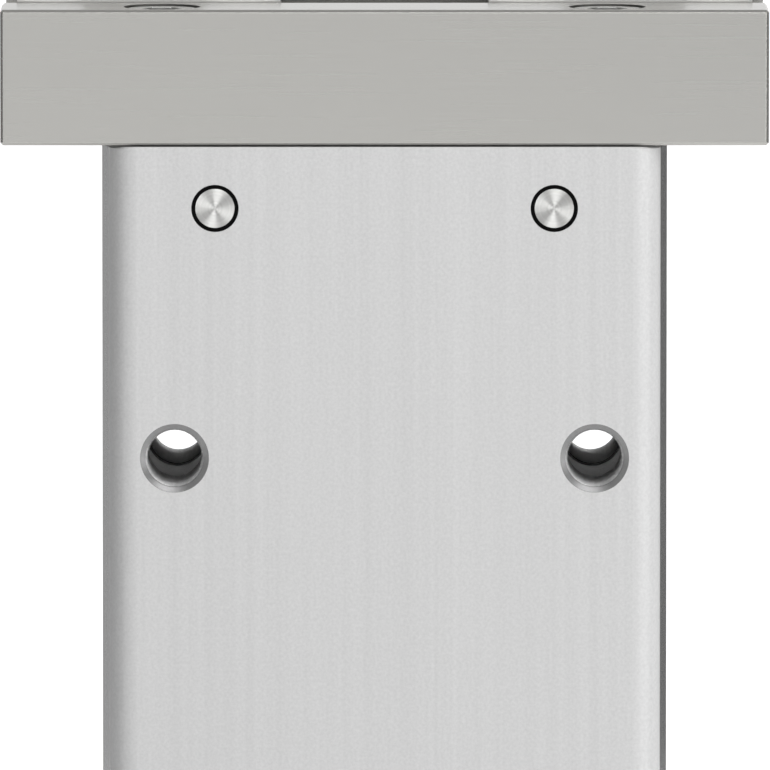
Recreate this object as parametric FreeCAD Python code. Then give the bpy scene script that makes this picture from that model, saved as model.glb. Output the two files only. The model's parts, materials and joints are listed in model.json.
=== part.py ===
import FreeCAD, Part
import math
import os

# Parallel gripper with two ball-guided jaws. A pneumatic piston drives them through two bell-crank levers.
# Frame: millimetres, +X to the right, +Y to the back, +Z up towards the jaws, origin at the centre of the base.
# The jaws are drawn fully open, which puts the piston at the top of its stroke.

# Fits shared by all pieces
FIT = 0.01                      # radial room between pieces that are pressed or seated together
RUN = 0.05                      # radial room between pieces that run in each other
SIDE_GAP = 0.3                  # room beside jaws and levers
EDGE_BREAK = 0.15               # chamfer on the housing's end edges
MOUTH_ANGLE = 120.0             # countersinks of the tapped holes, side to side

# Housing
BODY_WIDTH = 40.4               # across the raised side flats
BODY_DEPTH = 27.6               # front to back, the same as the guide rail
BODY_HEIGHT = 57.4
BODY_CORNER_RADIUS = 2.0
SIDE_FLAT_STEP = 0.5            # height of the side flats above the plain sides
SIDE_FLAT_RUNOUT = 0.35         # plain side between a rounded corner and the slope up to the flat
SIDE_FLAT_SLOPE = 1.5           # length of that slope
SEAT_RISE = 0.1                 # rail's seat above the shoulder round it
SEAT_INSET = 0.8                # width of that shoulder

# Cross holes that bolt the housing to a plate behind or in front of it, tapped M5 from both faces
MOUNT_PITCH = 30.0
MOUNT_HEIGHT = 35.0
MOUNT_CORE = 4.134
MOUNT_RELIEF = 4.4              # plain middle stretch between the two threads
MOUNT_MOUTH = 4.9               # mouth of the countersink
MOUNT_FRONT_THREAD = 7.2
MOUNT_REAR_THREAD = 10.5

# Base holes, tapped M4
BASE_PITCH_X = 26.0
BASE_PITCH_Y = 21.0
BASE_CORE = 3.242
BASE_MOUTH = 4.1
BASE_THREAD = 8.0

# Air ports, tapped M5, on the left side
PORT_CORE = 4.134
PORT_MOUTH = 5.1
PORT_DEPTH = 5.5
PORT_SPOTFACE = 8.4
PORT_SPOTFACE_DEPTH = 0.25
LOWER_PORT_HEIGHT = 14.0
UPPER_PORT_HEIGHT = 28.5
PASSAGE = 1.6                   # drilled way from a port to its end of the cylinder

# Sensor slots, round inside with a narrower mouth, two on each side
SENSOR_PITCH = 15.0
SENSOR_BORE = 4.1
SENSOR_MOUTH = 3.0
SENSOR_INSET = 2.6              # slot centre behind the side flat
SENSOR_LENGTH = 30.0

# Guide rail and its screws
GUIDE_LENGTH = 54.8
GUIDE_HEIGHT = 9.7
GUIDE_CHAMFER = 0.2
CHANNEL_WIDTH = 13.4
CHANNEL_FLOOR = 2.2
WINDOW_CLEARANCE = 0.5
WINDOW_CORNER = 0.9
SCREW_PITCH = 31.8
SCREW_INSET = 3.1               # screw axis behind the front or rear face
SCREW_DIAMETER = 3.0
SCREW_LENGTH = 13.0             # under the head
SCREW_HEAD = 5.2
SCREW_HEAD_HEIGHT = 2.2
SCREW_SOCKET = 2.5              # across flats
SCREW_SOCKET_DEPTH = 1.3
SCREW_RECESS = 0.12             # head below the rail's top
COUNTERBORE_GAP = 0.12

# Balls between the rail and the jaws
BALL_DIAMETER = 2.0
BALL_HEIGHT = 6.0               # above the rail's underside
BALL_GAP = 0.04
BALL_PITCH = 2.06
BALLS_PER_ROW = 6
STOP_DIAMETER = 1.0             # pins that keep the balls in the jaw
STOP_INSET = 1.2                # pin axis from the jaw's end
STOP_DEPTH = 0.8                # pin axis behind the jaw's side

# Jaws
JAW_STROKE = 5.0                # of each jaw
OPEN_GAP = 26.4                 # between the gripping faces when open
FINGER_WIDTH = 8.25
FINGER_DEPTH = 12.0
FINGER_HEIGHT = 17.7            # above the rail
FINGER_CHAMFER = 0.5
FINGER_ROOT_RADIUS = 0.8
JAW_LENGTH = 18.9
JAW_OVERHANG = 5.75             # jaw foot inside the gripping face
JAW_RISE = 0.5                  # jaw foot above the rail's top
JAW_CHAMFER = 0.3
TAP_CORE = 3.242                # finger holes, tapped M4
TAP_MOUTH = 4.1
TAP_LOW = 4.6                   # lower hole above the rail
TAP_PITCH = 9.0

# Levers and their shafts
PIVOT_PITCH = 24.2
PIVOT_DROP = 4.5                # shaft axis below the housing's top
SHAFT_DIAMETER = 2.8
SHAFT_RECESS = 0.1              # shaft end behind the housing's face
SHAFT_SEAL = 3.36
SHAFT_SEAL_DEPTH = 1.0
LEVER_THICKNESS = 4.4
LEVER_BOSS = 6.0
LEVER_BUSH = 4.2
UPPER_ARM = 9.5                 # shaft axis to tip centre
TIP_DIAMETER = 3.2
ARM_ROOT = 3.8                  # width of the upper arm at the shaft
ARM_NECK = 1.8                  # width of the upper arm at the tip
PRONG_HEIGHT = 5.0              # height of the forked inner arm
PRONG_OVERHANG = 1.9            # fork beyond the centre line
ARM_LAYER_GAP = 0.2             # between the two inner arms
POCKET_HEADROOM = 0.4
POCKET_FLARE = 0.5
CHAMBER_CLEARANCE = 0.35
CHAMBER_CORNER = 1.0

# Piston and rod
BORE = 20.0
PISTON_HEIGHT = 17.0
PISTON_GAP = 0.1
ROD_DIAMETER = 8.0
ROD_HEAD = 2.2                  # rod above the centre pin
ROD_SPIGOT = 5.0
PIN_DIAMETER = 3.0
PIN_INSET = 0.3
FORK_CLEARANCE = 0.3
WELL_GAP = 0.4                  # round the rod in the lever chamber
RING_LAND = 1.6                 # piston land above the wear ring and between the grooves
WEAR_RING_HEIGHT = 3.2
WEAR_RING_WALL = 1.0
WEAR_RING_SPLIT = 0.8
MAGNET_HEIGHT = 3.4
MAGNET_WALL = 2.0
PISTON_SEAL_HEIGHT = 2.6
PISTON_SEAL_WALL = 1.9
SEAL_LIP_GROOVE = 0.5
BOLT_DIAMETER = 3.0
BOLT_HEAD = 5.5
BOLT_HEAD_HEIGHT = 2.0
BOLT_SOCKET = 2.0
BOLT_SOCKET_DEPTH = 1.1
BOLT_GRIP = 2.2                 # piston web between spigot and bolt head
BOLT_ENGAGEMENT = 7.0
BOLT_CLEARANCE = 0.1

# Cylinder ends
BUMPER_HEIGHT = 1.0
BUMPER_OUTER = 15.6
BUMPER_INNER = 9.4
STOP_GAP = 0.1                  # left between piston and bumper at each end of the stroke
BUSH_WALL = 1.0
BUSH_LENGTH = 4.0
BULKHEAD_LIP = 0.85
ROD_SEAL_WALL = 2.0
ROD_SEAL_HEIGHT = 2.4
CAP_CHAMFER = 0.4
CAP_DISH = 11.0
CAP_DISH_DEPTH = 1.2
O_RING = 1.5
CLIP_SETBACK = 1.6
CLIP_THICKNESS = 1.0
CLIP_GRIP = 0.6                 # how far the clip reaches into the housing
CLIP_BAND = 1.5
CLIP_LUG = 2.6
CLIP_HOLE = 1.2
CLIP_LUG_ANGLE = 18.0

# Lever geometry worked out from the sizes above
pivot_x = PIVOT_PITCH / 2
swing = math.asin(JAW_STROKE / 2 / UPPER_ARM)
prong_reach = pivot_x + PRONG_OVERHANG
# The fork's top corner stays below the guide rail when the lever is swung open
fork_top = (PIVOT_DROP - CHAMBER_CLEARANCE - prong_reach * math.sin(swing)) / math.cos(swing)
pin_drop = PRONG_HEIGHT / 2 - fork_top


def pin_height(angle):
    """Height of the rod's centre pin above the shafts, with the levers swung open by an angle."""
    return pivot_x * math.tan(angle) - pin_drop / math.cos(angle)


piston_stroke = pin_height(swing) - pin_height(-swing)
# The pin's path departs a little from a straight ratio, and the fork's slot leaves room for that
fork_slot = PIN_DIAMETER + 2 * (pin_drop * (1 / math.cos(swing) - 1) + RUN)
fork_sweep = PRONG_HEIGHT / 2 / math.cos(swing) + ROD_DIAMETER / 2 * math.tan(swing)
fork_low = prong_reach * math.sin(swing) + (pin_drop + PRONG_HEIGHT / 2) * math.cos(swing)
chamber_depth = PIVOT_DROP + fork_low + 2 * CHAMBER_CLEARANCE

# Heights, stacked down from the housing's top. What is left above the clip is the end cap.
body_top = BODY_HEIGHT
shoulder_z = body_top - SEAT_RISE
pivot_z = body_top - PIVOT_DROP
pin_z = pivot_z + pin_height(swing)
chamber_z = body_top - chamber_depth
bush_top = chamber_z - BULKHEAD_LIP
rod_seal_top = bush_top - BUSH_LENGTH
cylinder_top = rod_seal_top - ROD_SEAL_HEIGHT - STOP_GAP
piston_top = cylinder_top - BUMPER_HEIGHT - STOP_GAP
piston_z = piston_top - PISTON_HEIGHT
cap_top = piston_z - piston_stroke - STOP_GAP - BUMPER_HEIGHT
clip_z = CLIP_SETBACK
cap_z = clip_z + CLIP_THICKNESS + FIT
guide_top = body_top + GUIDE_HEIGHT
ball_z = body_top + BALL_HEIGHT
finger_top = guide_top + FINGER_HEIGHT

# Places across the gripper
bore_radius = BORE / 2
rod_radius = ROD_DIAMETER / 2
half_depth = BODY_DEPTH / 2
jaw_half_depth = CHANNEL_WIDTH / 2 - SIDE_GAP
ball_y = CHANNEL_WIDTH / 2 - SIDE_GAP / 2
jaw_inner_x = -(OPEN_GAP / 2 - JAW_OVERHANG)
jaw_outer_x = jaw_inner_x - JAW_LENGTH
jaw_x = (jaw_inner_x + jaw_outer_x) / 2
grip_x = -OPEN_GAP / 2
screw_y = half_depth - SCREW_INSET
counterbore = SCREW_HEAD + 2 * COUNTERBORE_GAP
screw_seat = guide_top - SCREW_RECESS - SCREW_HEAD_HEIGHT
BOTH = (-1, 1)


# Shapes that the pieces are made from
def spot(axis, along, u, v):
    """A point on the plane at `along` on the axis, with u and v on the other two axes in X, Y, Z order."""
    order = {"x": (along, u, v), "y": (u, along, v), "z": (u, v, along)}
    return FreeCAD.Vector(*order[axis])


def outline(axis, along, corners):
    """Closed wire through corners of (u, v, radius), each rounded by its radius."""
    points = [spot(axis, along, u, v) for u, v, _ in corners]
    entries = []
    exits = []
    edges = []
    for i, corner in enumerate(points):
        before = (points[i - 1] - corner).normalize()
        after = (points[(i + 1) % len(points)] - corner).normalize()
        radius = corners[i][2]
        if radius == 0:
            entries.append(corner)
            exits.append(corner)
            continue
        half = before.getAngle(after) / 2
        entry = corner + before * (radius / math.tan(half))
        leave = corner + after * (radius / math.tan(half))
        middle = corner + (before + after).normalize() * (radius / math.sin(half) - radius)
        edges.append(Part.Arc(entry, middle, leave).toShape())
        entries.append(entry)
        exits.append(leave)
    for i, start in enumerate(exits):
        end = entries[(i + 1) % len(entries)]
        if (end - start).Length > 1e-6:
            edges.append(Part.LineSegment(start, end).toShape())
    return Part.Wire(Part.__sortEdges__(edges))


def prism(axis, low, high, corners):
    """Outline of (u, v, radius) corners, extruded along the axis from low to high."""
    face = Part.Face(outline(axis, low, corners))
    return face.extrude(spot(axis, high - low, 0, 0))


def block(x, y, z):
    """Box from three (low, high) pairs."""
    low = FreeCAD.Vector(x[0], y[0], z[0])
    return Part.makeBox(x[1] - x[0], y[1] - y[0], z[1] - z[0], low)


def cylinder(diameter, axis, low, high, u=0.0, v=0.0):
    return Part.makeCylinder(diameter / 2, high - low, spot(axis, low, u, v), spot(axis, 1, 0, 0))


def cone(low_diameter, high_diameter, axis, low, high, u=0.0, v=0.0):
    start = spot(axis, low, u, v)
    return Part.makeCone(low_diameter / 2, high_diameter / 2, high - low, start, spot(axis, 1, 0, 0))


def ring(outer, inner, axis, low, high, u=0.0, v=0.0):
    return cylinder(outer, axis, low, high, u, v).cut(cylinder(inner, axis, low, high, u, v))


def turned(corners):
    """Solid of revolution about Z from corners of (radius, z, rounding)."""
    face = Part.Face(outline("y", 0, corners))
    return face.revolve(FreeCAD.Vector(0, 0, 0), FreeCAD.Vector(0, 0, 1), 360)


def countersink(mouth, core, axis, face, inward, u, v):
    """Cutter for a countersink in a face. Inward is the sign of the way into the material."""
    depth = (mouth - core) / 2 / math.tan(math.radians(MOUTH_ANGLE / 2))
    if inward > 0:
        return cone(mouth, core, axis, face, face + depth, u, v)
    return cone(core, mouth, axis, face - depth, face, u, v)


def hex_socket(flats, low, high, x, y):
    """Cutter for a hexagon socket standing along Z."""
    corner = flats / math.sqrt(3)
    turns = [math.radians(60 * i) for i in range(6)]
    return prism("z", low, high, [(x + corner * math.cos(a), y + corner * math.sin(a), 0) for a in turns])


def edges_on(shape, axis, value):
    """Edges that lie in the plane where an axis has a value."""
    places = {"x": lambda p: p.x, "y": lambda p: p.y, "z": lambda p: p.z}
    on_plane = lambda edge: all(abs(places[axis](vertex.Point) - value) < 1e-6 for vertex in edge.Vertexes)
    return [edge for edge in shape.Edges if on_plane(edge)]


def mirrored(shape):
    """The right-hand twin of a left-hand piece."""
    return shape.mirror(FreeCAD.Vector(0, 0, 0), FreeCAD.Vector(1, 0, 0))


def half_turned(shape):
    """The same piece turned half round the gripper's axis."""
    twin = shape.copy()
    twin.rotate(FreeCAD.Vector(0, 0, 0), FreeCAD.Vector(0, 0, 1), 180)
    return twin


# Housing, machined from an extruded aluminium profile
def housing_profile():
    side = BODY_WIDTH / 2 - SIDE_FLAT_STEP
    slope = half_depth - BODY_CORNER_RADIUS - SIDE_FLAT_RUNOUT
    right = [
        (side, -half_depth, BODY_CORNER_RADIUS),
        (side, -slope, 0),
        (BODY_WIDTH / 2, -slope + SIDE_FLAT_SLOPE, 0),
        (BODY_WIDTH / 2, slope - SIDE_FLAT_SLOPE, 0),
        (side, slope, 0),
        (side, half_depth, BODY_CORNER_RADIUS),
    ]
    left = [(-x, -y, radius) for x, y, radius in right]
    return right + left


def rail_seat():
    """Raised pad that the guide rail is screwed to. The shoulder round it leaves a fine gap under the rail."""
    x = BODY_WIDTH / 2 - SIDE_FLAT_STEP - SEAT_INSET
    y = half_depth - SEAT_INSET
    corners = [(-x, -y), (x, -y), (x, y), (-x, y)]
    return prism("z", shoulder_z, body_top, [(u, v, BODY_CORNER_RADIUS) for u, v in corners])


def lever_chamber():
    """Slot for the levers with a round well for the rod, open at the top."""
    half_length = pivot_x + LEVER_BOSS / 2 + 2 * SIDE_GAP
    half_width = LEVER_THICKNESS / 2 + SIDE_GAP
    corners = [
        (-half_length, -half_width, CHAMBER_CORNER),
        (half_length, -half_width, CHAMBER_CORNER),
        (half_length, half_width, CHAMBER_CORNER),
        (-half_length, half_width, CHAMBER_CORNER),
    ]
    slot = prism("z", chamber_z, body_top, corners)
    return slot.fuse(cylinder(ROD_DIAMETER + 2 * WELL_GAP, "z", chamber_z, body_top))


def cylinder_bore():
    """Stepped bore from the base: piston bore, clip groove, rod seal seat, bush seat and rod hole."""
    groove = bore_radius + CLIP_GRIP + FIT
    seal_seat = rod_radius + ROD_SEAL_WALL + FIT
    bush_seat = rod_radius + BUSH_WALL + FIT
    hole = rod_radius + SIDE_GAP
    return turned([
        (0, 0, 0),
        (bore_radius + CAP_CHAMFER, 0, 0),
        (bore_radius, CAP_CHAMFER, 0),
        (bore_radius, clip_z - FIT, 0),
        (groove, clip_z - FIT, 0),
        (groove, clip_z + CLIP_THICKNESS + FIT, 0),
        (bore_radius, clip_z + CLIP_THICKNESS + FIT, 0),
        (bore_radius, cylinder_top, 0),
        (seal_seat, cylinder_top, 0),
        (seal_seat, rod_seal_top, 0),
        (bush_seat, rod_seal_top, 0),
        (bush_seat, bush_top, 0),
        (hole, bush_top, 0),
        (hole, chamber_z, 0),
        (0, chamber_z, 0),
    ])


def mount_hole(x):
    """Cross hole with a thread from each face and a wider plain middle."""
    rear_end = half_depth - MOUNT_REAR_THREAD
    return [
        cylinder(MOUNT_CORE, "y", -half_depth, half_depth, x, MOUNT_HEIGHT),
        cylinder(MOUNT_RELIEF, "y", -half_depth + MOUNT_FRONT_THREAD, rear_end, x, MOUNT_HEIGHT),
        countersink(MOUNT_MOUTH, MOUNT_CORE, "y", -half_depth, 1, x, MOUNT_HEIGHT),
        countersink(MOUNT_MOUTH, MOUNT_CORE, "y", half_depth, -1, x, MOUNT_HEIGHT),
    ]


def base_hole(x, y):
    return [
        cylinder(BASE_CORE, "z", 0, BASE_THREAD, x, y),
        cone(BASE_CORE, 0, "z", BASE_THREAD, BASE_THREAD + BASE_CORE / 2, x, y),
        countersink(BASE_MOUTH, BASE_CORE, "z", 0, 1, x, y),
    ]


def air_port(z, chamber_end):
    """Tapped port in the left side, with a drilled passage to its end of the cylinder."""
    face = -BODY_WIDTH / 2
    seat = face + PORT_SPOTFACE_DEPTH
    start = FreeCAD.Vector(face + PORT_DEPTH - PASSAGE, 0, z)
    way = FreeCAD.Vector(-bore_radius + PASSAGE / 2, 0, chamber_end) - start
    return [
        cylinder(PORT_SPOTFACE, "x", face, seat, 0, z),
        countersink(PORT_MOUTH, PORT_CORE, "x", seat, 1, 0, z),
        cylinder(PORT_CORE, "x", face, face + PORT_DEPTH, 0, z),
        Part.makeCylinder(PASSAGE / 2, way.Length, start, way),
    ]


def sensor_slot(side, y):
    centre = side * (BODY_WIDTH / 2 - SENSOR_INSET)
    mouth_x = sorted((centre, side * BODY_WIDTH / 2))
    mouth_y = (y - SENSOR_MOUTH / 2, y + SENSOR_MOUTH / 2)
    round_way = cylinder(SENSOR_BORE, "z", 0, SENSOR_LENGTH, centre, y)
    return round_way.fuse(block(mouth_x, mouth_y, (0, SENSOR_LENGTH)))


def shaft_hole(x):
    seal_hole = SHAFT_SEAL + 2 * FIT
    return [
        cylinder(SHAFT_DIAMETER + 2 * FIT, "y", -half_depth, half_depth, x, pivot_z),
        cylinder(seal_hole, "y", -half_depth, -half_depth + SHAFT_SEAL_DEPTH + SHAFT_RECESS, x, pivot_z),
        cylinder(seal_hole, "y", half_depth - SHAFT_SEAL_DEPTH - SHAFT_RECESS, half_depth, x, pivot_z),
    ]


def screw_hole(x, y):
    depth = SCREW_LENGTH + SCREW_DIAMETER / 2
    return cylinder(SCREW_DIAMETER + 2 * FIT, "z", screw_seat - depth, body_top, x, y)


def housing():
    blank = prism("z", 0, shoulder_z, housing_profile())
    blank = blank.makeChamfer(EDGE_BREAK, edges_on(blank, "z", 0) + edges_on(blank, "z", shoulder_z))
    cuts = [lever_chamber(), cylinder_bore()]
    cuts += air_port(LOWER_PORT_HEIGHT, cap_top + BUMPER_HEIGHT)
    cuts += air_port(UPPER_PORT_HEIGHT, cylinder_top - BUMPER_HEIGHT)
    for side in BOTH:
        cuts += mount_hole(side * MOUNT_PITCH / 2)
        cuts += shaft_hole(side * pivot_x)
        for end in BOTH:
            cuts += base_hole(side * BASE_PITCH_X / 2, end * BASE_PITCH_Y / 2)
            cuts.append(screw_hole(side * SCREW_PITCH / 2, end * screw_y))
            cuts.append(sensor_slot(side, end * SENSOR_PITCH / 2))
    return blank.fuse(rail_seat()).cut(cuts)


# Guide rail, a hardened steel channel with ball tracks in its two walls
def raceways(x):
    """Cutters for the ball tracks between two X places."""
    track = BALL_DIAMETER + 2 * BALL_GAP
    return [cylinder(track, "x", x[0], x[1], end * ball_y, ball_z) for end in BOTH]


def lever_window(side):
    """Opening in the channel floor that a lever swings through."""
    reach = (PIVOT_DROP + CHANNEL_FLOOR) * math.tan(swing)
    half_length = reach + ARM_ROOT / 2 / math.cos(swing) + WINDOW_CLEARANCE
    half_width = LEVER_THICKNESS / 2 + SIDE_GAP
    x = (side * pivot_x - half_length, side * pivot_x + half_length)
    corners = [
        (x[0], -half_width, WINDOW_CORNER),
        (x[1], -half_width, WINDOW_CORNER),
        (x[1], half_width, WINDOW_CORNER),
        (x[0], half_width, WINDOW_CORNER),
    ]
    return prism("z", body_top, body_top + CHANNEL_FLOOR, corners)


def guide_rail():
    ends = (-GUIDE_LENGTH / 2, GUIDE_LENGTH / 2)
    rail = block(ends, (-half_depth, half_depth), (body_top, guide_top))
    rail = rail.makeChamfer(GUIDE_CHAMFER, rail.Edges)
    wall = CHANNEL_WIDTH / 2
    channel = prism("x", ends[0], ends[1], [
        (-wall, body_top + CHANNEL_FLOOR, 0),
        (wall, body_top + CHANNEL_FLOOR, 0),
        (wall, guide_top - GUIDE_CHAMFER, 0),
        (wall + GUIDE_CHAMFER, guide_top, 0),
        (-wall - GUIDE_CHAMFER, guide_top, 0),
        (-wall, guide_top - GUIDE_CHAMFER, 0),
    ])
    cuts = [channel] + raceways(ends)
    for side in BOTH:
        cuts.append(lever_window(side))
        for end in BOTH:
            x = side * SCREW_PITCH / 2
            y = end * screw_y
            cuts.append(cylinder(SCREW_DIAMETER + 2 * COUNTERBORE_GAP, "z", body_top, guide_top, x, y))
            cuts.append(cylinder(counterbore, "z", screw_seat, guide_top, x, y))
    return rail.cut(cuts)


def guide_screw(x, y):
    head_top = screw_seat + SCREW_HEAD_HEIGHT
    head = cylinder(SCREW_HEAD, "z", screw_seat, head_top, x, y)
    head = head.makeChamfer(EDGE_BREAK, edges_on(head, "z", head_top))
    shank = cylinder(SCREW_DIAMETER, "z", screw_seat - SCREW_LENGTH, screw_seat, x, y)
    return head.fuse(shank).cut(hex_socket(SCREW_SOCKET, head_top - SCREW_SOCKET_DEPTH, head_top, x, y))


def guide_screws():
    places = [(side * SCREW_PITCH / 2, end * screw_y) for side in BOTH for end in BOTH]
    return Part.makeCompound([guide_screw(x, y) for x, y in places])


# Jaws, balls and ball stops, drawn for the left side
def jaw_foot():
    low = body_top + CHANNEL_FLOOR + SIDE_GAP
    high = guide_top + JAW_RISE
    foot = prism("x", jaw_outer_x, jaw_inner_x, [
        (-jaw_half_depth + JAW_CHAMFER, low, 0),
        (jaw_half_depth - JAW_CHAMFER, low, 0),
        (jaw_half_depth, low + JAW_CHAMFER, 0),
        (jaw_half_depth, high - JAW_CHAMFER, 0),
        (jaw_half_depth - JAW_CHAMFER, high, 0),
        (-jaw_half_depth + JAW_CHAMFER, high, 0),
        (-jaw_half_depth, high - JAW_CHAMFER, 0),
        (-jaw_half_depth, low + JAW_CHAMFER, 0),
    ])
    return foot.cut(raceways((jaw_outer_x, jaw_inner_x)))


def finger():
    """Upright block that carries the gripping tool, with rounded roots on the foot."""
    foot_top = guide_top + JAW_RISE
    x = (grip_x - FINGER_WIDTH, grip_x)
    root = FINGER_ROOT_RADIUS
    upright = prism("y", -FINGER_DEPTH / 2, FINGER_DEPTH / 2, [
        (x[0] - root, foot_top - root, 0),
        (x[1] + root, foot_top - root, 0),
        (x[1] + root, foot_top, 0),
        (x[1], foot_top, root),
        (x[1], finger_top, 0),
        (x[0], finger_top, 0),
        (x[0], foot_top, root),
        (x[0] - root, foot_top, 0),
    ])
    return upright.makeChamfer(FINGER_CHAMFER, edges_on(upright, "z", finger_top))


def lever_pocket():
    """Slot under the foot for the lever's tip, with a flared mouth."""
    x = -(pivot_x + JAW_STROKE / 2)
    half = TIP_DIAMETER / 2 + RUN
    low = body_top + CHANNEL_FLOOR + SIDE_GAP
    high = pivot_z + UPPER_ARM + TIP_DIAMETER / 2 + POCKET_HEADROOM
    half_width = LEVER_THICKNESS / 2 + SIDE_GAP
    return prism("y", -half_width, half_width, [
        (x - half - POCKET_FLARE, low, 0),
        (x + half + POCKET_FLARE, low, 0),
        (x + half, low + POCKET_FLARE, 0),
        (x + half, high, 0),
        (x - half, high, 0),
        (x - half, low + POCKET_FLARE, 0),
    ])


def finger_hole(z):
    x = (grip_x - FINGER_WIDTH, grip_x)
    return [
        cylinder(TAP_CORE, "x", x[0], x[1], 0, z),
        countersink(TAP_MOUTH, TAP_CORE, "x", x[0], 1, 0, z),
        countersink(TAP_MOUTH, TAP_CORE, "x", x[1], -1, 0, z),
    ]


def stop_pin(diameter, x, y):
    return cylinder(diameter, "z", ball_z - BALL_DIAMETER / 2, guide_top + JAW_RISE, x, y)


def stop_places():
    reach = JAW_LENGTH / 2 - STOP_INSET
    return [(jaw_x + side * reach, end * (jaw_half_depth - STOP_DEPTH)) for side in BOTH for end in BOTH]


def jaw():
    cuts = [lever_pocket()]
    cuts += finger_hole(guide_top + TAP_LOW)
    cuts += finger_hole(guide_top + TAP_LOW + TAP_PITCH)
    cuts += [stop_pin(STOP_DIAMETER + 2 * FIT, x, y) for x, y in stop_places()]
    return jaw_foot().fuse(finger()).removeSplitter().cut(cuts)


def ball_stops():
    return Part.makeCompound([stop_pin(STOP_DIAMETER, x, y) for x, y in stop_places()])


def balls():
    """Two rows that roll at half the jaw's speed, so they stand half a step behind the open jaw."""
    row_x = jaw_x + JAW_STROKE / 4
    first = row_x - BALL_PITCH * (BALLS_PER_ROW - 1) / 2
    places = [(first + BALL_PITCH * i, end * ball_y) for i in range(BALLS_PER_ROW) for end in BOTH]
    return Part.makeCompound([Part.makeSphere(BALL_DIAMETER / 2, FreeCAD.Vector(x, y, ball_z)) for x, y in places])


# Levers, drawn at mid stroke and swung open
def lever():
    """Bell crank: a tapered upper arm with a round tip, and a forked inner arm that fills the front layer."""
    half = LEVER_THICKNESS / 2
    layer = (-half, -ARM_LAYER_GAP / 2)
    tip_z = pivot_z + UPPER_ARM
    fork_z = pivot_z - pin_drop
    x = -pivot_x
    boss = cylinder(LEVER_BOSS, "y", -half, half, x, pivot_z)
    upper_arm = prism("y", -half, half, [
        (x - ARM_ROOT / 2, pivot_z, 0),
        (x + ARM_ROOT / 2, pivot_z, 0),
        (x + ARM_NECK / 2, tip_z, 0),
        (x - ARM_NECK / 2, tip_z, 0),
    ])
    tip = cylinder(TIP_DIAMETER, "y", -half, half, x, tip_z)
    fork_end = x + prong_reach
    inner_arm = prism("y", layer[0], layer[1], [
        (x, fork_z - PRONG_HEIGHT / 2, 0),
        (fork_end, fork_z - PRONG_HEIGHT / 2, 0),
        (fork_end, fork_z + PRONG_HEIGHT / 2, 0),
        (x, fork_z + PRONG_HEIGHT / 2, 0),
    ])
    slot_end = x + pivot_x * math.cos(swing) + pin_height(swing) * math.sin(swing)
    slot = block((slot_end, fork_end), layer, (fork_z - fork_slot / 2, fork_z + fork_slot / 2))
    slot = slot.fuse(cylinder(fork_slot, "y", layer[0], layer[1], slot_end, fork_z))
    bore = cylinder(LEVER_BUSH + 2 * FIT, "y", -half, half, x, pivot_z)
    crank = boss.fuse([upper_arm, tip, inner_arm]).removeSplitter().cut([slot, bore])
    crank.rotate(FreeCAD.Vector(x, 0, pivot_z), FreeCAD.Vector(0, 1, 0), -math.degrees(swing))
    return crank


def lever_bush():
    half = LEVER_THICKNESS / 2
    return ring(LEVER_BUSH, SHAFT_DIAMETER + 2 * RUN, "y", -half, half, -pivot_x, pivot_z)


def lever_shaft(x):
    end = half_depth - SHAFT_RECESS
    return cylinder(SHAFT_DIAMETER, "y", -end, end, x, pivot_z)


def shaft_seals():
    """Black rings that close the gap round the shaft ends, two on each face."""
    face = half_depth - SHAFT_RECESS
    back = face - SHAFT_SEAL_DEPTH
    inner = SHAFT_DIAMETER + 2 * FIT
    rings = []
    for side in BOTH:
        rings.append(ring(SHAFT_SEAL, inner, "y", -face, -back, side * pivot_x, pivot_z))
        rings.append(ring(SHAFT_SEAL, inner, "y", back, face, side * pivot_x, pivot_z))
    return Part.makeCompound(rings)


# Piston group, drawn at the top of its stroke
piston_radius = bore_radius - PISTON_GAP
wear_high = piston_top - RING_LAND
wear_low = wear_high - WEAR_RING_HEIGHT
magnet_high = wear_low - RING_LAND
magnet_low = magnet_high - MAGNET_HEIGHT
seal_high = magnet_low - RING_LAND
seal_low = seal_high - PISTON_SEAL_HEIGHT
bolt_seat = piston_z + BOLT_HEAD_HEIGHT + SIDE_GAP
spigot_low = bolt_seat + BOLT_GRIP


def piston_groove(low, high, wall):
    """Cutter for a ring groove that holds a ring of this wall thickness."""
    return ring(BORE, 2 * (bore_radius - RUN - wall - FIT), "z", low - FIT, high + FIT)


def piston():
    blank = cylinder(2 * piston_radius, "z", piston_z, piston_top)
    blank = blank.makeChamfer(CAP_CHAMFER, edges_on(blank, "z", piston_z) + edges_on(blank, "z", piston_top))
    return blank.cut([
        piston_groove(wear_low, wear_high, WEAR_RING_WALL),
        piston_groove(magnet_low, magnet_high, MAGNET_WALL),
        piston_groove(seal_low, seal_high, PISTON_SEAL_WALL),
        cylinder(ROD_SPIGOT + 2 * FIT, "z", spigot_low, piston_top),
        cylinder(BOLT_DIAMETER + 2 * BOLT_CLEARANCE, "z", bolt_seat, spigot_low),
        cylinder(BOLT_HEAD + 2 * BOLT_CLEARANCE, "z", piston_z, bolt_seat),
    ])


def piston_rod():
    top = pin_z + ROD_HEAD
    stem = cylinder(ROD_DIAMETER, "z", piston_top, top)
    stem = stem.makeChamfer(CAP_CHAMFER, edges_on(stem, "z", top))
    spigot = cylinder(ROD_SPIGOT, "z", spigot_low + FIT, piston_top)
    half_slot = LEVER_THICKNESS / 2 + FORK_CLEARANCE
    slot_low = pin_z - fork_sweep - FORK_CLEARANCE
    thread_top = spigot_low + BOLT_ENGAGEMENT + SIDE_GAP
    return stem.fuse(spigot).removeSplitter().cut([
        block((-rod_radius, rod_radius), (-half_slot, half_slot), (slot_low, top)),
        cylinder(PIN_DIAMETER + 2 * FIT, "y", -rod_radius, rod_radius, 0, pin_z),
        cylinder(BOLT_DIAMETER + 2 * FIT, "z", spigot_low, thread_top),
    ])


def centre_pin():
    end = rod_radius - PIN_INSET
    return cylinder(PIN_DIAMETER, "y", -end, end, 0, pin_z)


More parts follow.
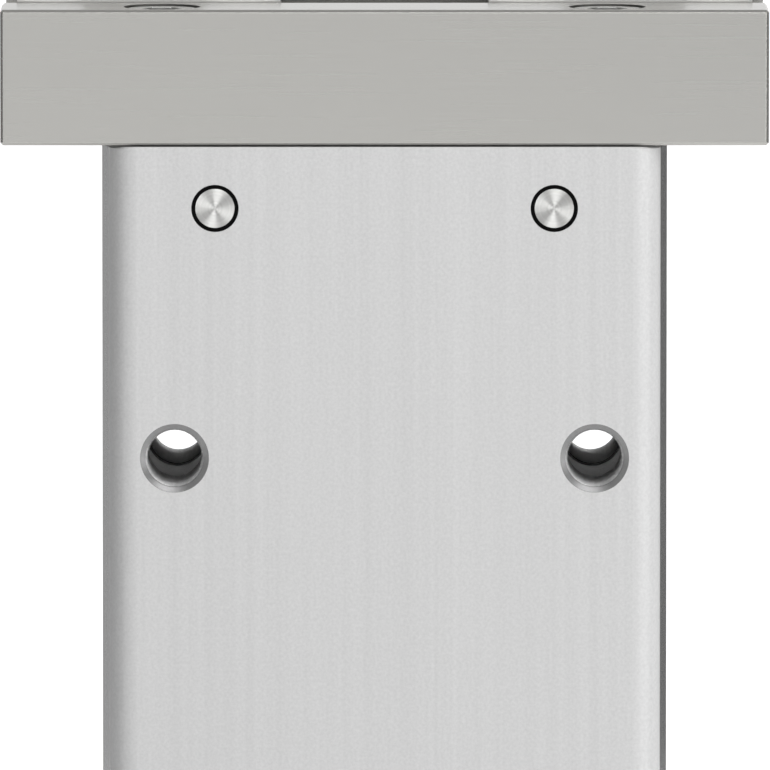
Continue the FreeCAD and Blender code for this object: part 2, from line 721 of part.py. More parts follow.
def piston_bolt():
    head_low = bolt_seat - BOLT_HEAD_HEIGHT
    head = cylinder(BOLT_HEAD, "z", head_low, bolt_seat)
    head = head.makeChamfer(EDGE_BREAK, edges_on(head, "z", head_low))
    shank = cylinder(BOLT_DIAMETER, "z", bolt_seat, spigot_low + BOLT_ENGAGEMENT)
    return head.fuse(shank).cut(hex_socket(BOLT_SOCKET, head_low, head_low + BOLT_SOCKET_DEPTH, 0, 0))


def wear_ring():
    outer = bore_radius - RUN
    band = ring(2 * outer, 2 * (outer - WEAR_RING_WALL), "z", wear_low, wear_high)
    half = WEAR_RING_SPLIT / 2
    return band.cut(block((0, outer), (-half, half), (wear_low, wear_high)))


def magnet_ring():
    outer = bore_radius - RUN
    inner = outer - MAGNET_WALL
    return ring(2 * (piston_radius - RUN), 2 * inner, "z", magnet_low, magnet_high)


def piston_seal():
    """Rubber ring with a groove between two lips."""
    outer = bore_radius - RUN
    inner = outer - PISTON_SEAL_WALL
    middle = (seal_low + seal_high) / 2
    return turned([
        (inner, seal_low, 0),
        (outer, seal_low, SEAL_LIP_GROOVE / 2),
        (outer, middle - SEAL_LIP_GROOVE, 0),
        (outer - SEAL_LIP_GROOVE, middle, 0),
        (outer, middle + SEAL_LIP_GROOVE, 0),
        (outer, seal_high, SEAL_LIP_GROOVE / 2),
        (inner, seal_high, 0),
    ])


# Cylinder ends
def rod_bush():
    return ring(2 * (rod_radius + BUSH_WALL), ROD_DIAMETER + 2 * RUN, "z", rod_seal_top, bush_top)


def rod_seal():
    """Lip seal round the rod, with its groove open towards the cylinder."""
    inner = rod_radius + RUN
    outer = rod_radius + ROD_SEAL_WALL
    middle = (inner + outer) / 2
    low = rod_seal_top - ROD_SEAL_HEIGHT
    return turned([
        (inner, low, 0),
        (middle - SEAL_LIP_GROOVE, low, 0),
        (middle, low + ROD_SEAL_HEIGHT / 2, 0),
        (middle + SEAL_LIP_GROOVE, low, 0),
        (outer, low, 0),
        (outer, rod_seal_top, 0),
        (inner, rod_seal_top, 0),
    ])


def bumper(low):
    return ring(BUMPER_OUTER, BUMPER_INNER, "z", low, low + BUMPER_HEIGHT)


def end_cap():
    """Plug that closes the cylinder, with a ring groove and a dished outer face."""
    outer = bore_radius - FIT
    groove = bore_radius - O_RING - 2 * FIT
    groove_half = O_RING / 2 + RUN
    middle = (cap_z + cap_top) / 2
    return turned([
        (0, cap_z + CAP_DISH_DEPTH, 0),
        (CAP_DISH / 2 - CAP_DISH_DEPTH, cap_z + CAP_DISH_DEPTH, 0),
        (CAP_DISH / 2, cap_z, 0),
        (outer - CAP_CHAMFER, cap_z, 0),
        (outer, cap_z + CAP_CHAMFER, 0),
        (outer, middle - groove_half, 0),
        (groove, middle - groove_half, 0),
        (groove, middle + groove_half, 0),
        (outer, middle + groove_half, 0),
        (outer, cap_top - CAP_CHAMFER, 0),
        (outer - CAP_CHAMFER, cap_top, 0),
        (0, cap_top, 0),
    ])


def cap_ring():
    centre = FreeCAD.Vector(0, 0, (cap_z + cap_top) / 2)
    return Part.makeTorus(bore_radius - FIT - O_RING / 2, O_RING / 2, centre)


def retaining_clip():
    """Open spring ring in the housing's groove, with two eyes for pliers."""
    outer = bore_radius + CLIP_GRIP
    inner = bore_radius - CLIP_BAND
    z = (clip_z, clip_z + CLIP_THICKNESS)
    band = ring(2 * outer, 2 * inner, "z", z[0], z[1])
    half_gap = math.radians(CLIP_LUG_ANGLE / 2)
    gap = [(0, 0, 0), (-2 * outer * math.sin(half_gap), -2 * outer * math.cos(half_gap), 0)]
    gap.append((2 * outer * math.sin(half_gap), -2 * outer * math.cos(half_gap), 0))
    clip = band.cut(prism("z", z[0], z[1], gap))
    lug_turn = half_gap + math.asin(CLIP_LUG / 2 / inner)
    lug_radius = inner - CLIP_LUG / 4
    for side in BOTH:
        x = side * lug_radius * math.sin(lug_turn)
        y = -lug_radius * math.cos(lug_turn)
        clip = clip.fuse(cylinder(CLIP_LUG, "z", z[0], z[1], x, y))
        clip = clip.cut(cylinder(CLIP_HOLE, "z", z[0], z[1], x, y))
    return clip.removeSplitter()


def build():
    left_jaw = jaw()
    left_stops = ball_stops()
    left_balls = balls()
    left_lever = lever()
    left_bush = lever_bush()
    return {
        "housing": housing(),
        "guide_rail": guide_rail(),
        "guide_screws": guide_screws(),
        "lever_shaft_left": lever_shaft(-pivot_x),
        "lever_shaft_right": lever_shaft(pivot_x),
        "shaft_seals": shaft_seals(),
        "rod_bush": rod_bush(),
        "rod_seal": rod_seal(),
        "upper_bumper": bumper(cylinder_top - BUMPER_HEIGHT),
        "lower_bumper": bumper(cap_top),
        "end_cap": end_cap(),
        "end_cap_o_ring": cap_ring(),
        "retaining_clip": retaining_clip(),
        "jaw_left": left_jaw,
        "jaw_right": mirrored(left_jaw),
        "ball_stops_left": left_stops,
        "ball_stops_right": mirrored(left_stops),
        "balls_left": left_balls,
        "balls_right": mirrored(left_balls),
        "lever_left": left_lever,
        "lever_right": half_turned(left_lever),
        "lever_bush_left": left_bush,
        "lever_bush_right": half_turned(left_bush),
        "piston": piston(),
        "piston_rod": piston_rod(),
        "piston_bolt": piston_bolt(),
        "centre_pin": centre_pin(),
        "wear_ring": wear_ring(),
        "magnet_ring": magnet_ring(),
        "piston_seal": piston_seal(),
    }


os.makedirs("parts", exist_ok=True)
for node, shape in build().items():
    shape.exportStep(f"parts/{node}.step")
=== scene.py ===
import json
import math

import bmesh
import bpy
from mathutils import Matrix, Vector


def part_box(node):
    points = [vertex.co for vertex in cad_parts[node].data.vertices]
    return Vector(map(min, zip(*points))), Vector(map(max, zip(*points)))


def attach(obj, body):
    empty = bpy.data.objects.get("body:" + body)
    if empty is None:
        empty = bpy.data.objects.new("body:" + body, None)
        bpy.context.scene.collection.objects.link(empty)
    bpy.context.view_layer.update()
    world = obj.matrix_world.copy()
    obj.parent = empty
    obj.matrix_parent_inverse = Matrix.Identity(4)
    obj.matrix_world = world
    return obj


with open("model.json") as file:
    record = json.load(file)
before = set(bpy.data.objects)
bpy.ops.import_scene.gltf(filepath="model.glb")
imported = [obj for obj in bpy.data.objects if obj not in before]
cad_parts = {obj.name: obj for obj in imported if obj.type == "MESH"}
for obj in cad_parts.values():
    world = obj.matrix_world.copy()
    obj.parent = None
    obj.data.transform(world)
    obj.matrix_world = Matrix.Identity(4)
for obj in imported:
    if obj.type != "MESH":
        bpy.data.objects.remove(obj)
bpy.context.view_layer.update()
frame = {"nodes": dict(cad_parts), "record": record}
MM = 0.001

# Housing: a length of extruded aluminium profile, machined, blasted and clear anodised. The upright extrusion
# lines show through the blasted speckle. The mouths of the cross holes and the slopes along the sides are cut
# after that and stay bare, and their colour is darkened further as painted shade. Holes, slots and other
# hollows of the housing are darkened by painted shade as well.
EDGE_RADIUS = 0.08 * MM
UNEVENNESS = 0.1


def node_group(name, inputs, outputs):
    """Empty shader group. Inputs are (name, type, default) and outputs are (name, type)."""
    group = bpy.data.node_groups.new(name, "ShaderNodeTree")
    for label, kind, default in inputs:
        socket = group.interface.new_socket(label, in_out="INPUT", socket_type="NodeSocket" + kind)
        socket.default_value = default
    for label, kind in outputs:
        group.interface.new_socket(label, in_out="OUTPUT", socket_type="NodeSocket" + kind)
    return group, group.nodes.new("NodeGroupInput"), group.nodes.new("NodeGroupOutput")


def put(tree, kind, settings=None, values=None):
    """Add a node, set its properties, and set its input sockets by name or number."""
    node = tree.nodes.new("ShaderNode" + kind)
    for key, value in (settings or {}).items():
        setattr(node, key, value)
    for key, value in (values or {}).items():
        node.inputs[key].default_value = value
    return node


def wire(tree, *pairs):
    """Join each output socket to its input socket."""
    for source, target in pairs:
        tree.links.new(source, target)


def make_grain():
    """Noise stretched by a frequency for each axis, in cycles per metre, from 0 to 1."""
    group, given, result = node_group(
        "grain", [("Frequency", "Vector", (1000, 1000, 1000))], [("Mark", "Float")])
    place = put(group, "TexCoord")
    stretch = put(group, "VectorMath", {"operation": "MULTIPLY"})
    noise = put(group, "TexNoise", None, {"Scale": 1.0, "Detail": 3.0, "Roughness": 0.55})
    spread = put(group, "MapRange", None, {"From Min": 0.25, "From Max": 0.75})
    wire(group, (place.outputs["Object"], stretch.inputs[0]), (given.outputs["Frequency"], stretch.inputs[1]),
         (stretch.outputs[0], noise.inputs["Vector"]), (noise.outputs["Fac"], spread.inputs["Value"]),
         (spread.outputs["Result"], result.inputs["Mark"]))
    return group


def make_hollow_shade():
    """How open a point is to the light: 1 on outer faces, towards 0 deep in a hole."""
    group, given, result = node_group(
        "hollow_shade", [("Reach", "Float", 0.004), ("Shut", "Float", 0.05), ("Clear", "Float", 0.5)],
        [("Open", "Float")])
    occlusion = put(group, "AmbientOcclusion", {"samples": 8})
    spread = put(group, "MapRange")
    wire(group, (given.outputs["Reach"], occlusion.inputs["Distance"]),
         (given.outputs["Shut"], spread.inputs["From Min"]),
         (given.outputs["Clear"], spread.inputs["From Max"]),
         (occlusion.outputs["AO"], spread.inputs["Value"]), (spread.outputs["Result"], result.inputs["Open"]))
    return group


def make_soft_edges():
    """Normal that rounds sharp edges by a radius, and a mask of those edges."""
    group, given, result = node_group(
        "soft_edges", [("Radius", "Float", 0.0001)], [("Normal", "Vector"), ("Edge", "Float")])
    bevel = put(group, "Bevel", {"samples": 4})
    face = put(group, "NewGeometry")
    match = put(group, "VectorMath", {"operation": "DOT_PRODUCT"})
    spread = put(group, "MapRange", None, {"From Min": 0.99, "From Max": 0.8})
    wire(group, (given.outputs["Radius"], bevel.inputs["Radius"]), (bevel.outputs["Normal"], match.inputs[0]),
         (face.outputs["Normal"], match.inputs[1]), (match.outputs["Value"], spread.inputs["Value"]),
         (bevel.outputs["Normal"], result.inputs["Normal"]),
         (spread.outputs["Result"], result.inputs["Edge"]))
    return group


def measure_from_axis(group, given):
    """Offset from a centre and distance from the axis through it, mirrored in the part's middle planes."""
    place = put(group, "TexCoord")
    fold = put(group, "VectorMath", {"operation": "ABSOLUTE"})
    offset = put(group, "VectorMath", {"operation": "SUBTRACT"})
    flat = put(group, "VectorMath", {"operation": "MULTIPLY"})
    distance = put(group, "VectorMath", {"operation": "LENGTH"})
    wire(group, (place.outputs["Object"], fold.inputs[0]), (fold.outputs[0], offset.inputs[0]),
         (given.outputs["Centre"], offset.inputs[1]), (offset.outputs[0], flat.inputs[0]),
         (given.outputs["Across"], flat.inputs[1]), (flat.outputs[0], distance.inputs[0]))
    return offset.outputs[0], distance.outputs["Value"]


def make_round_zone():
    """Mask of what lies within a radius of an axis."""
    group, given, result = node_group(
        "round_zone",
        [("Centre", "Vector", (0, 0, 0)), ("Across", "Vector", (1, 1, 0)), ("Radius", "Float", 0.001)],
        [("Inside", "Float")])
    distance = measure_from_axis(group, given)[1]
    inside = put(group, "Math", {"operation": "LESS_THAN"})
    wire(group, (distance, inside.inputs[0]), (given.outputs["Radius"], inside.inputs[1]),
         (inside.outputs[0], result.inputs["Inside"]))
    return group


groups = {"grain": make_grain(), "hollow_shade": make_hollow_shade(), "soft_edges": make_soft_edges(),
          "round_zone": make_round_zone()}


def effect(tree, name, **values):
    """Place one of the shared groups, with its own values."""
    return put(tree, "Group", {"node_tree": groups[name]}, values)


def feed(tree, value, socket):
    """Give a socket a number, or the output of another node."""
    if isinstance(value, float):
        socket.default_value = value
    else:
        wire(tree, (value, socket))


def spread_over(tree, mask, low, high):
    """Value that goes from low to high as the mask goes from 0 to 1."""
    spread = put(tree, "MapRange", None, {"To Min": low, "To Max": high})
    wire(tree, (mask, spread.inputs["Value"]))
    return spread.outputs["Result"]


def swap_inside(tree, mask, outer, inner):
    """The outer value where the mask is 0, and the inner number where it is 1."""
    mix = put(tree, "Mix", None, {3: inner})
    wire(tree, (mask, mix.inputs[0]))
    feed(tree, outer, mix.inputs[2])
    return mix.outputs[0]


def shade_colour(tree, colour, tones):
    """The colour times each tone. A tone is a mask and the factors where it is 0 and 1."""
    shaded = None
    for mask, low, high in tones:
        scale = put(tree, "VectorMath", {"operation": "SCALE"}, {0: colour})
        wire(tree, (spread_over(tree, mask, low, high), scale.inputs["Scale"]))
        if shaded:
            wire(tree, (shaded, scale.inputs[0]))
        shaded = scale.outputs[0]
    return shaded


def shader_of(material):
    """The material's Principled shader."""
    return material.node_tree.nodes["Principled BSDF"]


def finish(name, colour, roughness, metallic=1.0, marks=(), zones=(), hollow=0.1, reach=4 * MM, clear=0.5,
           edge=1.12):
    """Material whose colour is multiplied by lighter edges, shaded hollows, marks and bare zones.

    The edges are painted lighter, partly as rubbed wear and partly as a painted highlight. The hollows get a
    painted shade that darkens the colour down to the factor hollow deep in holes and gaps. Marks are (group,
    values, tint, depth), and the first one also varies the roughness. Zones are of bare metal, with a tone
    that paints shade or light on them, and are (values, tone, roughness).
    """
    material = bpy.data.materials.new(name)
    material.use_nodes = True
    tree = material.node_tree
    shader = shader_of(material)
    soft = effect(tree, "soft_edges", Radius=EDGE_RADIUS)
    shade = effect(tree, "hollow_shade", Reach=reach, Clear=clear)
    # Painted shade in the hollows and painted lighter edges multiply the colour.
    tones = [(soft.outputs["Edge"], 1.0, edge), (shade.outputs["Open"], hollow, 1.0)]
    normal = soft.outputs["Normal"]
    rough = roughness
    for i, (group, values, tint, depth) in enumerate(marks):
        mark = effect(tree, group, **values).outputs[0]
        tones.append((mark, 1 - tint, 1 + tint))
        bump = put(tree, "Bump", None, {"Strength": 1.0, "Distance": depth})
        wire(tree, (mark, bump.inputs["Height"]), (normal, bump.inputs["Normal"]))
        normal = bump.outputs["Normal"]
        if i == 0:
            rough = spread_over(tree, mark, roughness * (1 - UNEVENNESS), roughness * (1 + UNEVENNESS))
    metal = metallic
    for values, tone, bare_roughness in zones:
        inside = effect(tree, "round_zone", **values).outputs["Inside"]
        tones.append((inside, 1.0, tone))
        rough = swap_inside(tree, inside, rough, bare_roughness)
        if metallic < 1:
            metal = swap_inside(tree, inside, metal, 1.0)
    feed(tree, rough, shader.inputs["Roughness"])
    feed(tree, metal, shader.inputs["Metallic"])
    wire(tree, (shade_colour(tree, colour, tones), shader.inputs["Base Color"]),
         (normal, shader.inputs["Normal"]))
    return material


def dress(material, *names):
    """Give CAD pieces their finish."""
    for name in names:
        piece = frame["nodes"][name]
        piece.data.materials.clear()
        piece.data.materials.append(material)


mounts = {mount["name"]: mount for mount in frame["record"]["mounts"]}
front_holes = mounts["front_mount"]
hole_pitch = front_holes["dims"]["spacing_x_mm"] * MM
hole_height = front_holes["pos_m"][2]
hole_core = front_holes["dims"]["hole_r_mm"] * MM
hole_mouth = 2.46 * MM
side_step = 0.5 * MM
slope_reach = 0.47 * side_step
body_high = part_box("housing")[1]
mouth_shade_zone = {"Centre": (hole_pitch / 2, body_high.y, hole_height), "Across": (1, 1, 1), "Radius": hole_mouth}
slope_shade_zone = {"Centre": (body_high.x - side_step / 2, 0, 0), "Across": (1, 0, 0), "Radius": slope_reach}
extrusion_lines = ("grain", {"Frequency": (1300, 1300, 9)}, 0.038, 0.001 * MM)
blasted_speckle = ("grain", {"Frequency": (4500, 4500, 4500)}, 0.07, 0.001 * MM)
# Painted shade: the mouth and slope zones darken the colour, and so does the hollow shade in holes and slots.
anodised = finish("anodised_aluminium", (0.66, 0.66, 0.66), 0.5, metallic=0.05,
                  marks=[extrusion_lines, blasted_speckle],
                  zones=[(mouth_shade_zone, 0.33, 0.4), (slope_shade_zone, 0.75, 0.25)],
                  hollow=0.05, reach=6 * MM, clear=0.45)
dress(anodised, "housing")

# Threads of the housing: cut with a tap into the cross holes, the air ports and the base holes. Each is one
# helical ridge that stands on the drilled wall and runs out at both ends. In the cross holes, a sloped
# shoulder is left between each thread and the wider middle.
TURN_STEPS = 32
RIDGE_HEIGHT = 0.16             # of the pitch
RIDGE_HALF_WIDTH = 0.19         # of the pitch
RIDGE_SINK = 0.02 * MM
LEAST_RIDGE = 0.05              # of the height, where the ridge runs out
SHOULDER_STEPS = 64
SHOULDER_RUN = 0.16 * MM
SHOULDER_LIP = 0.005 * MM
scene = bpy.context.scene


def outward(inward, share):
    """Direction away from a hole's axis, after a share of a turn round it."""
    side = inward.orthogonal().normalized()
    angle = 2 * math.pi * share
    return side * math.cos(angle) + inward.cross(side) * math.sin(angle)


def bridge(mesh, first, second):
    """Faces between two sections of three points."""
    for i in range(3):
        j = (i + 1) % 3
        mesh.faces.new((first[i], first[j], second[j], second[i]))


def helical_ridge(mesh, mouth, inward, core, pitch, start, end):
    """Add one thread ridge to a mesh.

    Start and end are depths below the mouth, and core is the wall's radius.
    """
    height = RIDGE_HEIGHT * pitch
    half_width = RIDGE_HALF_WIDTH * pitch
    steps = int((end - start) / pitch * TURN_STEPS)
    previous = None
    for i in range(steps + 1):
        run_out = min(1, 2 * i / TURN_STEPS, 2 * (steps - i) / TURN_STEPS)
        out = outward(inward, i / TURN_STEPS)
        centre = mouth + inward * (start + pitch * i / TURN_STEPS)
        foot = centre + out * (core + RIDGE_SINK)
        crest = foot - out * (height + RIDGE_SINK) * max(run_out, LEAST_RIDGE)
        row = [mesh.verts.new(p) for p in (foot - inward * half_width, crest, foot + inward * half_width)]
        if previous:
            bridge(mesh, previous, row)
        else:
            mesh.faces.new(row)
        previous = row
    mesh.faces.new(previous[::-1])


def shoulder_ring(mesh, mouth, inward, core, relief, depth):
    """Add the slope between a threaded wall and the wider middle of the hole, at a depth below the mouth."""
    section = ((depth - RIDGE_SINK, core + SHOULDER_LIP), (depth + SHOULDER_RUN, relief + RIDGE_SINK),
               (depth - RIDGE_SINK, relief + RIDGE_SINK))
    rows = []
    for i in range(SHOULDER_STEPS):
        out = outward(inward, i / SHOULDER_STEPS)
        rows.append([mesh.verts.new(mouth + inward * along + out * radius) for along, radius in section])
    for i, row in enumerate(rows):
        bridge(mesh, rows[i - 1], row)


def threads(name, body, material, ridges, shoulders=()):
    """One piece with all the thread ridges and shoulders of a group of holes."""
    mesh = bmesh.new()
    for ridge in ridges:
        helical_ridge(mesh, *ridge)
    for shoulder in shoulders:
        shoulder_ring(mesh, *shoulder)
    bmesh.ops.recalc_face_normals(mesh, faces=mesh.faces)
    data = bpy.data.meshes.new(name)
    mesh.to_mesh(data)
    mesh.free()
    data.materials.append(material)
    piece = bpy.data.objects.new(name, data)
    scene.collection.objects.link(piece)
    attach(piece, body)


M5_PITCH = 0.8 * MM
M4_PITCH = 0.7 * MM
FRONT_THREAD = 7.2 * MM
REAR_THREAD = 10.5 * MM
BASE_THREAD = 8.0 * MM
MOUTH_DEPTH = 0.4 * MM
HOLE_RELIEF = 2.2 * MM
BOTH = (-1, 1)
UP = Vector((0, 0, 1))
cross_ridges = []
cross_shoulders = []
for mount, depth in (("front_mount", FRONT_THREAD), ("rear_mount", REAR_THREAD)):
    face = Vector(mounts[mount]["pos_m"])
    inward = -Vector(mounts[mount]["axis"])
    for side in BOTH:
        mouth = face + Vector((side * hole_pitch / 2, 0, 0))
        cross_ridges.append((mouth, inward, hole_core, M5_PITCH, MOUTH_DEPTH, depth))
        cross_shoulders.append((mouth, inward, hole_core, HOLE_RELIEF, depth))
port_ridges = []
for port in ("closing_port", "opening_port"):
    size = mounts[port]["dims"]
    port_ridges.append((Vector(mounts[port]["pos_m"]), -Vector(mounts[port]["axis"]), size["r_mm"] * MM,
                        M5_PITCH, MOUTH_DEPTH, size["length_mm"] * MM))
base_size = mounts["base_mount"]["dims"]
base_core = base_size["hole_r_mm"] * MM
base_ridges = []
for side in BOTH:
    for end in BOTH:
        mouth = Vector((side * base_size["spacing_x_mm"] / 2, end * base_size["spacing_y_mm"] / 2, 0)) * MM
        base_ridges.append((mouth, UP, base_core, M4_PITCH, MOUTH_DEPTH, BASE_THREAD))
tapped_aluminium = finish("tapped_aluminium", (0.8, 0.8, 0.8), 0.35, metallic=0.9, marks=[blasted_speckle],
                          hollow=1.0)
threads("cross_hole_threads", "housing", tapped_aluminium, cross_ridges,
        cross_shoulders)
threads("port_threads", "housing", tapped_aluminium, port_ridges)
threads("base_threads", "housing", tapped_aluminium, base_ridges)

# Rod guide and cylinder ends: a sintered bronze bush pressed into the bulkhead, a black lip seal under it,
# and two moulded bumpers of brown polyurethane that the piston lands on. The levers have bushes of the same
# bronze, and the other seals are of the same rubber.
sintered_pores = ("grain", {"Frequency": (9000, 9000, 9000)}, 0.25, 0.01 * MM)
sintered_bronze = finish("sintered_bronze", (0.48, 0.3, 0.13), 0.42, marks=[sintered_pores])
dress(sintered_bronze, "rod_bush", "lever_bush_left", "lever_bush_right")
moulded_skin = ("grain", {"Frequency": (6000, 6000, 6000)}, 0.25, 0.004 * MM)
nitrile = finish("black_rubber", (0.002, 0.002, 0.002), 0.5, metallic=0.0, marks=[moulded_skin])
shader_of(nitrile).inputs["Specular IOR Level"].default_value = 0.04
dress(nitrile, "rod_seal", "shaft_seals", "end_cap_o_ring", "piston_seal")
polyurethane = finish("brown_polyurethane", (0.05, 0.028, 0.014), 0.4, metallic=0.0, marks=[moulded_skin])
dress(polyurethane, "upper_bumper", "lower_bumper")


# Piston and rod: a turned aluminium piston bolted to a hard-chromed steel rod. It carries a split wear ring
# of filled plastic, a bonded magnet ring that the sensors see, and a rubber seal. The centre pin crosses the
# rod.
def make_turning_rings():
    """Fine rings round an axis: noise along the radius and along the axis, from 0 to 1."""
    group, given, result = node_group(
        "turning_rings",
        [("Centre", "Vector", (0, 0, 0)), ("Across", "Vector", (1, 1, 0)), ("Along", "Vector", (0, 0, 1)),
         ("Frequency", "Float", 5000)], [("Mark", "Float")])
    offset, radius = measure_from_axis(group, given)
    height = put(group, "VectorMath", {"operation": "DOT_PRODUCT"})
    travel = put(group, "Math", {"operation": "ADD"})
    turn = put(group, "Math", {"operation": "MULTIPLY"})
    noise = put(group, "TexNoise", {"noise_dimensions": "1D"}, {"Scale": 1.0, "Detail": 2.0})
    spread = put(group, "MapRange", None, {"From Min": 0.25, "From Max": 0.75})
    wire(group, (offset, height.inputs[0]), (given.outputs["Along"], height.inputs[1]),
         (radius, travel.inputs[0]), (height.outputs["Value"], travel.inputs[1]),
         (travel.outputs[0], turn.inputs[0]), (given.outputs["Frequency"], turn.inputs[1]),
         (turn.outputs[0], noise.inputs["W"]), (noise.outputs["Fac"], spread.inputs["Value"]),
         (spread.outputs["Result"], result.inputs["Mark"]))
    return group


groups["turning_rings"] = make_turning_rings()
lathe_rings = ("turning_rings", {"Frequency": 5000}, 0.05, 0.004 * MM)
turned_aluminium = finish("turned_aluminium", (0.6, 0.6, 0.59), 0.33, marks=[lathe_rings])
dress(turned_aluminium, "piston")
polishing = ("turning_rings", {"Frequency": 9000}, 0.02, 0.0005 * MM)
hard_chrome = finish("hard_chrome", (0.6, 0.6, 0.61), 0.14, marks=[polishing])
dress(hard_chrome, "piston_rod", "centre_pin")
filler_flecks = ("grain", {"Frequency": (5000, 5000, 2500)}, 0.3, 0.003 * MM)
filled_plastic = finish("filled_plastic", (0.36, 0.27, 0.17), 0.5, metallic=0.0, marks=[filler_flecks])
dress(filled_plastic, "wear_ring")
bonded_grains = ("grain", {"Frequency": (12000, 12000, 12000)}, 0.5, 0.003 * MM)
bonded_magnet = finish("bonded_magnet", (0.02, 0.02, 0.022), 0.38, metallic=0.0, marks=[bonded_grains])
dress(bonded_magnet, "magnet_ring")
plated_bolt = finish("plated_bolt", (0.5, 0.5, 0.49), 0.3, marks=[lathe_rings])
dress(plated_bolt, "piston_bolt")

# End cap: a turned aluminium plug that closes the cylinder, sealed by its ring and held by a spring clip. The
# clip is stamped from spring steel and phosphated, which leaves it dark and mottled.
cap_finish = finish("end_cap_aluminium", (0.62, 0.62, 0.61), 0.3, marks=[lathe_rings])
dress(cap_finish, "end_cap")
phosphate_mottle = ("grain", {"Frequency": (3500, 3500, 3500)}, 0.35, 0.003 * MM)
phosphated = finish("phosphated_steel", (0.07, 0.07, 0.075), 0.5, metallic=0.7, marks=[phosphate_mottle],
                    edge=1.6)
dress(phosphated, "retaining_clip")

# Lever shafts: steel pins whose faced ends show in the front and the back, with the rings of the turning
# tool. The rings spread each highlight into a sector. A black ring closes the gap round each end.
shaft_low, shaft_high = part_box("lever_shaft_right")
shaft_centre = (shaft_low + shaft_high) / 2
facing_rings = ("turning_rings", {"Centre": shaft_centre * Vector((1, 0, 1)), "Across": (1, 0, 1),
                                  "Along": (0, 1, 0), "Frequency": 7000}, 0.1, 0.004 * MM)
faced_steel = finish("faced_steel", (0.47, 0.47, 0.46), 0.45, marks=[facing_rings])
faced_shader = shader_of(faced_steel)
faced_shader.inputs["Anisotropic"].default_value = 1.0
faced_shader.inputs["Anisotropic Rotation"].default_value = 0.25
round_shaft = put(faced_steel.node_tree, "Tangent", {"direction_type": "RADIAL", "axis": "Y"})
wire(faced_steel.node_tree, (round_shaft.outputs["Tangent"], faced_shader.inputs["Tangent"]))
dress(faced_steel, "lever_shaft_left", "lever_shaft_right")

# Levers: bell cranks milled from steel and hardened. The heat treatment leaves them dark and mottled, and
# their edges are painted lighter, partly as rubbed wear and partly as a painted highlight.
heat_mottle = ("grain", {"Frequency": (800, 3000, 800)}, 0.12, 0.002 * MM)
hardened_steel = finish("hardened_steel", (0.24, 0.235, 0.23), 0.38, marks=[heat_mottle], edge=1.5)
dress(hardened_steel, "lever_left", "lever_right")

# Guide rail: a hardened steel channel, ground all over with the grinding lines along it. Four counterbores
# take the screw heads; inside them the rail is rougher, and its colour is darkened as painted shade. Its
# edges are painted lighter, partly as wear and partly as a painted highlight.
rail_low, rail_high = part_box("guide_rail")
screw_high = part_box("guide_screws")[1]
screw_head = 2.6 * MM
bore_reach = screw_head + 0.15 * MM
screw_axis = screw_high - Vector((screw_head, screw_head, 0))
# Painted shade: the rail's colour is darkened inside the counterbores.
bore_shade_zone = {"Centre": screw_axis, "Across": (1, 1, 0), "Radius": bore_reach}
grinding_lines = ("grain", {"Frequency": (60, 5000, 5000)}, 0.008, 0.0002 * MM)
ground_steel = finish("ground_steel", (0.393, 0.388, 0.371), 0.26, marks=[grinding_lines],
                      zones=[(bore_shade_zone, 0.25, 0.5)], hollow=0.6, edge=1.25)
dress(ground_steel, "guide_rail")

# Guide screws: four socket head screws that clamp the rail to the housing. They are of zinc plated steel,
# and their heads keep the rings of the turning tool.
head_rings = ("turning_rings", {"Centre": screw_axis, "Frequency": 6000}, 0.08, 0.003 * MM)
zinc_plate = finish("zinc_plated_steel", (0.55, 0.55, 0.54), 0.28, marks=[head_rings], hollow=0.06,
                    reach=2 * MM)
dress(zinc_plate, "guide_screws")

# Jaws: ground steel, each one piece with its foot in the rail and its finger block. The sides of the foot are
# painted lighter, as painted light, where they stand out of the rail beside the finger. The fingers are
# tapped for gripping tools.
JAW_RISE = 0.5 * MM
SIDE_REACH = 0.44 * JAW_RISE
LIT_SIDE_TONE = 1.35
JAW_ROUGHNESS = 0.33
jaw_low, jaw_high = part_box("jaw_right")
finger_inside = mounts["right_grip_face"]["pos_m"][0]
finger_outside = mounts["right_finger_taps"]["pos_m"][0]


def foot_side(inside, outside):
    """Zone of the foot's side between two distances from the middle of the gripper."""
    half_length = (outside - inside) / 2
    return {"Centre": (inside + half_length, 0, rail_high.z + JAW_RISE / 2),
            "Across": (1, 0, half_length / SIDE_REACH), "Radius": half_length}


jaw_lines = ("grain", {"Frequency": (60, 4000, 4000)}, 0.02, 0.001 * MM)
# Painted light: the foot's sides are lighter where they stand out of the rail.
painted_lit_sides = [(foot_side(jaw_low.x, finger_inside), LIT_SIDE_TONE, JAW_ROUGHNESS),
                (foot_side(finger_outside, jaw_high.x), LIT_SIDE_TONE, JAW_ROUGHNESS)]
jaw_steel = finish("jaw_steel", (0.62, 0.614, 0.599), JAW_ROUGHNESS, marks=[jaw_lines], zones=painted_lit_sides,
                   hollow=0.3)
shader_of(jaw_steel).inputs["Specular Tint"].default_value = (0.1, 0.1, 0.1, 1)
dress(jaw_steel, "jaw_left", "jaw_right")
tapped_steel = finish("tapped_steel", (0.4, 0.4, 0.39), JAW_ROUGHNESS, marks=[jaw_lines], hollow=0.05)
for side, body in (("left", "jaw_left"), ("right", "jaw_right")):
    taps = mounts[side + "_finger_taps"]
    inward = -Vector(taps["axis"])
    finger_width = abs(taps["pos_m"][0] - mounts[side + "_grip_face"]["pos_m"][0])
    finger_ridges = []
    for end in BOTH:
        mouth = Vector(taps["pos_m"]) + UP * (end * taps["dims"]["spacing_y_mm"] / 2 * MM)
        finger_ridges.append((mouth, inward, taps["dims"]["hole_r_mm"] * MM, M4_PITCH, MOUTH_DEPTH,
                              finger_width - MOUTH_DEPTH))
    threads("finger_threads_" + side, body, tapped_steel, finger_ridges)

